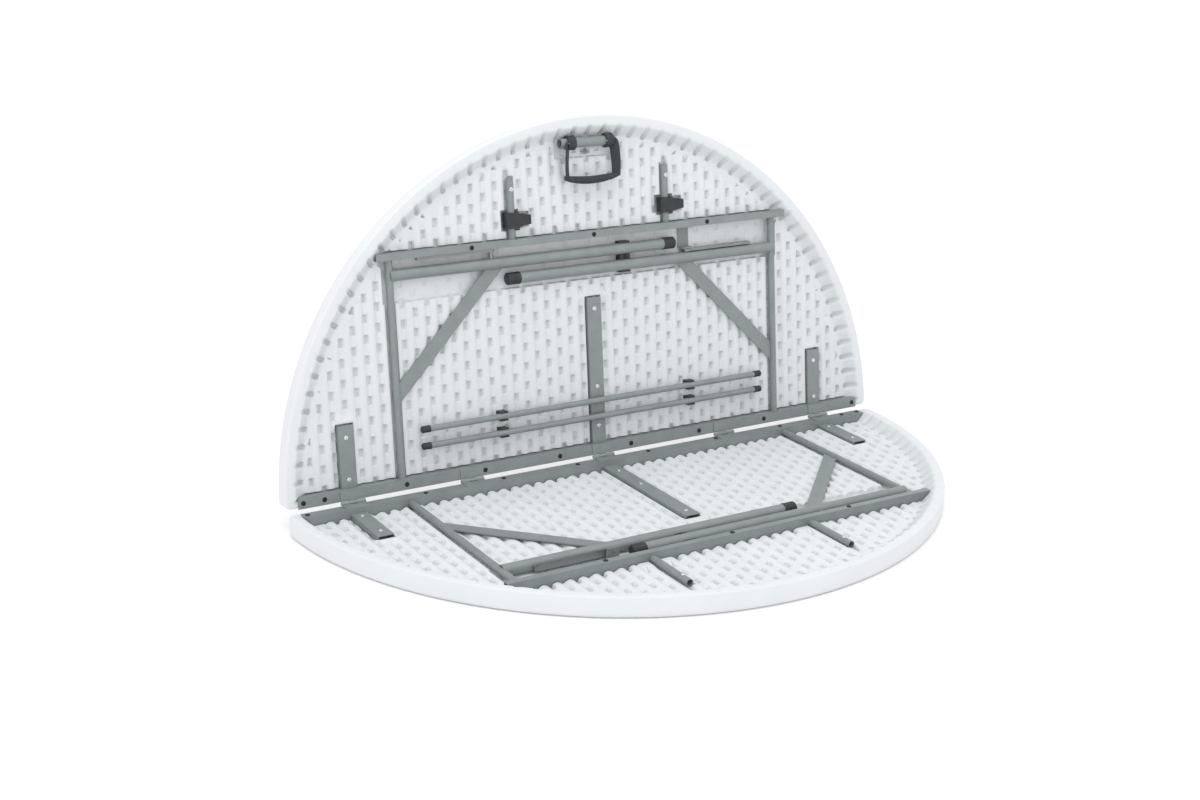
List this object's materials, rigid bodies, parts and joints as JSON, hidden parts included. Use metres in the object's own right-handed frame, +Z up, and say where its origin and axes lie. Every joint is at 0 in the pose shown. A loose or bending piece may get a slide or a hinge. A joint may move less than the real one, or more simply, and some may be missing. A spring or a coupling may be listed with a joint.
{
  "type": "folding table",
  "caption": "Round table that folds in half, lying half open on its face, with folding tube legs, stays, tie rods, latches and a carrying handle on its hollow underside.",
  "frame": {"origin": "middle of the lower half's face, on the floor, halfway from the hinge line to the round rim", "axes": "+X along the hinge line, +Y from the lower half to the upper half, +Z up"},
  "size_m": [1.5234, 0.8989, 0.8018],
  "materials": {
    "white_panel": "fine pebbled white moulded polyethylene",
    "grey_steel": "satin grey powder coat",
    "hinge_steel": "satin grey powder coat",
    "stay_steel": "zinc plated",
    "black_plastic": "matt black moulded",
    "handle_rubber": "soft matt black moulded",
    "black_screws": "black oxide",
    "zinc_screws": "bright zinc plated"
  },
  "bodies": {
    "lower_half": {"lower_panel": "white_panel", "lower_hinge_rail": "grey_steel", "lower_outer_rail": "grey_steel", "lower_centre_bar": "grey_steel", "lower_end_bars": "grey_steel", "lower_stay_bracket": "grey_steel", "lower_leg_clip": "black_plastic", "lower_stub_tubes": "grey_steel", "lower_rail_screws": "black_screws", "lower_small_screws": "zinc_screws", "lower_hinge_leaves": "hinge_steel", "lower_hinge_rivets": "hinge_steel", "hinge_pins": "hinge_steel"},
    "upper_half": {"upper_panel": "white_panel", "upper_hinge_rail": "grey_steel", "upper_outer_rail": "grey_steel", "upper_centre_bar": "grey_steel", "upper_end_bars": "grey_steel", "upper_stay_bracket": "grey_steel", "upper_leg_clip": "black_plastic", "upper_stub_tubes": "grey_steel", "upper_rail_screws": "black_screws", "upper_small_screws": "zinc_screws", "upper_hinge_leaves": "hinge_steel", "upper_hinge_rivets": "hinge_steel", "handle_bar": "grey_steel", "rod_clips": "black_plastic"},
    "lower_outer_leg_frame": {"lower_outer_crossbar": "grey_steel", "lower_outer_leg": "grey_steel", "lower_outer_brace": "grey_steel", "lower_outer_foot": "black_plastic"},
    "lower_outer_rail_stay": {"lower_outer_rail_link": "stay_steel"},
    "lower_outer_leg_stay": {"lower_outer_leg_link": "stay_steel"},
    "lower_inner_leg_frame": {"lower_inner_crossbar": "grey_steel", "lower_inner_leg": "grey_steel", "lower_inner_brace": "grey_steel", "lower_inner_foot": "black_plastic"},
    "lower_inner_rail_stay": {"lower_inner_rail_link": "stay_steel"},
    "lower_inner_leg_stay": {"lower_inner_leg_link": "stay_steel"},
    "upper_outer_leg_frame": {"upper_outer_crossbar": "grey_steel", "upper_outer_leg": "grey_steel", "upper_outer_brace": "grey_steel", "upper_outer_foot": "black_plastic"},
    "upper_outer_rail_stay": {"upper_outer_rail_link": "stay_steel"},
    "upper_outer_leg_stay": {"upper_outer_leg_link": "stay_steel"},
    "upper_inner_leg_frame": {"upper_inner_crossbar": "grey_steel", "upper_inner_leg": "grey_steel", "upper_inner_brace": "grey_steel", "upper_inner_foot": "black_plastic"},
    "upper_inner_rail_stay": {"upper_inner_rail_link": "stay_steel"},
    "upper_inner_leg_stay": {"upper_inner_leg_link": "stay_steel"},
    "left_latch": {"left_latch": "black_plastic"},
    "right_latch": {"right_latch": "black_plastic"},
    "handle": {"handle": "handle_rubber", "handle_screws": "zinc_screws"},
    "tie_rod_1": {"tie_rod_1": "grey_steel", "tie_rod_1_caps": "black_plastic"},
    "tie_rod_2": {"tie_rod_2": "grey_steel", "tie_rod_2_caps": "black_plastic"}
  },
  "joints": [
    {"name": "fold", "type": "hinge", "parent": "lower_half", "child": "upper_half", "pos_m": [0, 0.381, 0.0455], "axis": [-1, 0, 0], "range_deg": [-97, 83]},
    {"name": "lower_outer_leg_fold", "type": "hinge", "parent": "lower_half", "child": "lower_outer_leg_frame", "pos_m": [0.49204, -0.081, 0.0295], "axis": [0, 1, 0], "range_deg": [0, 90]},
    {"name": "lower_outer_rail_stay_fold", "type": "hinge", "parent": "lower_half", "child": "lower_outer_rail_stay", "pos_m": [0.25196, -0.114, 0.0295], "axis": [0, 1, 0], "range_deg": [-45, 0]},
    {"name": "lower_outer_leg_stay_fold", "type": "hinge", "parent": "lower_outer_leg_frame", "child": "lower_outer_leg_stay", "pos_m": [0.25196, -0.081, 0.0295], "axis": [0, 1, 0], "range_deg": [0, 45]},
    {"name": "lower_inner_leg_fold", "type": "hinge", "parent": "lower_half", "child": "lower_inner_leg_frame", "pos_m": [-0.49204, -0.044, 0.0295], "axis": [0, -1, 0], "range_deg": [0, 90]},
    {"name": "lower_inner_rail_stay_fold", "type": "hinge", "parent": "lower_half", "child": "lower_inner_rail_stay", "pos_m": [-0.25196, -0.0646, 0.0295], "axis": [0, -1, 0], "range_deg": [-45, 0]},
    {"name": "lower_inner_leg_stay_fold", "type": "hinge", "parent": "lower_inner_leg_frame", "child": "lower_inner_leg_stay", "pos_m": [-0.25196, -0.044, 0.0295], "axis": [0, -1, 0], "range_deg": [0, 45]},
    {"name": "upper_outer_leg_fold", "type": "hinge", "parent": "upper_half", "child": "upper_outer_leg_frame", "pos_m": [-0.49204, 0.45318, 0.50211], "axis": [0, -0.1219, -0.9925], "range_deg": [0, 90]},
    {"name": "upper_outer_rail_stay_fold", "type": "hinge", "parent": "upper_half", "child": "upper_outer_rail_stay", "pos_m": [-0.25196, 0.45721, 0.53486], "axis": [0, -0.1219, -0.9925], "range_deg": [-45, 0]},
    {"name": "upper_outer_leg_stay_fold", "type": "hinge", "parent": "upper_outer_leg_frame", "child": "upper_outer_leg_stay", "pos_m": [-0.25196, 0.45318, 0.50211], "axis": [0, -0.1219, -0.9925], "range_deg": [0, 45]},
    {"name": "upper_inner_leg_fold", "type": "hinge", "parent": "upper_half", "child": "upper_inner_leg_frame", "pos_m": [0.49204, 0.44867, 0.46538], "axis": [0, 0.1219, 0.9925], "range_deg": [0, 90]},
    {"name": "upper_inner_rail_stay_fold", "type": "hinge", "parent": "upper_half", "child": "upper_inner_rail_stay", "pos_m": [0.25196, 0.45119, 0.48583], "axis": [0, 0.1219, 0.9925], "range_deg": [-45, 0]},
    {"name": "upper_inner_leg_stay_fold", "type": "hinge", "parent": "upper_inner_leg_frame", "child": "upper_inner_leg_stay", "pos_m": [0.25196, 0.44867, 0.46538], "axis": [0, 0.1219, 0.9925], "range_deg": [0, 45]},
    {"name": "left_latch_turn", "type": "hinge", "parent": "upper_half", "child": "left_latch", "pos_m": [-0.198, 0.4654, 0.58927], "axis": [0, -0.1219, -0.9925], "range_deg": [0, 90]},
    {"name": "right_latch_turn", "type": "hinge", "parent": "upper_half", "child": "right_latch", "pos_m": [0.198, 0.4654, 0.58927], "axis": [0, -0.1219, -0.9925], "range_deg": [0, 90]},
    {"name": "handle_swing", "type": "hinge", "parent": "upper_half", "child": "handle", "pos_m": [0, 0.47734, 0.74396], "axis": [-1, 0, 0], "range_deg": [-8, 105]},
    {"name": "tie_rod_1_lift", "type": "slide", "parent": "upper_half", "child": "tie_rod_1", "axis": [0, -0.9925, 0.1219], "range_m": [0, 0.1]},
    {"name": "tie_rod_2_lift", "type": "slide", "parent": "upper_half", "child": "tie_rod_2", "axis": [0, -0.9925, 0.1219], "range_m": [0, 0.1]}
  ],
  "couplings": [
    {"joint": "lower_outer_rail_stay_fold", "follows": "lower_outer_leg_fold", "ratio": -0.5},
    {"joint": "lower_outer_leg_stay_fold", "follows": "lower_outer_leg_fold", "ratio": 0.5},
    {"joint": "lower_inner_rail_stay_fold", "follows": "lower_inner_leg_fold", "ratio": -0.5},
    {"joint": "lower_inner_leg_stay_fold", "follows": "lower_inner_leg_fold", "ratio": 0.5},
    {"joint": "upper_outer_rail_stay_fold", "follows": "upper_outer_leg_fold", "ratio": -0.5},
    {"joint": "upper_outer_leg_stay_fold", "follows": "upper_outer_leg_fold", "ratio": 0.5},
    {"joint": "upper_inner_rail_stay_fold", "follows": "upper_inner_leg_fold", "ratio": -0.5},
    {"joint": "upper_inner_leg_stay_fold", "follows": "upper_inner_leg_fold", "ratio": 0.5}
  ]
}
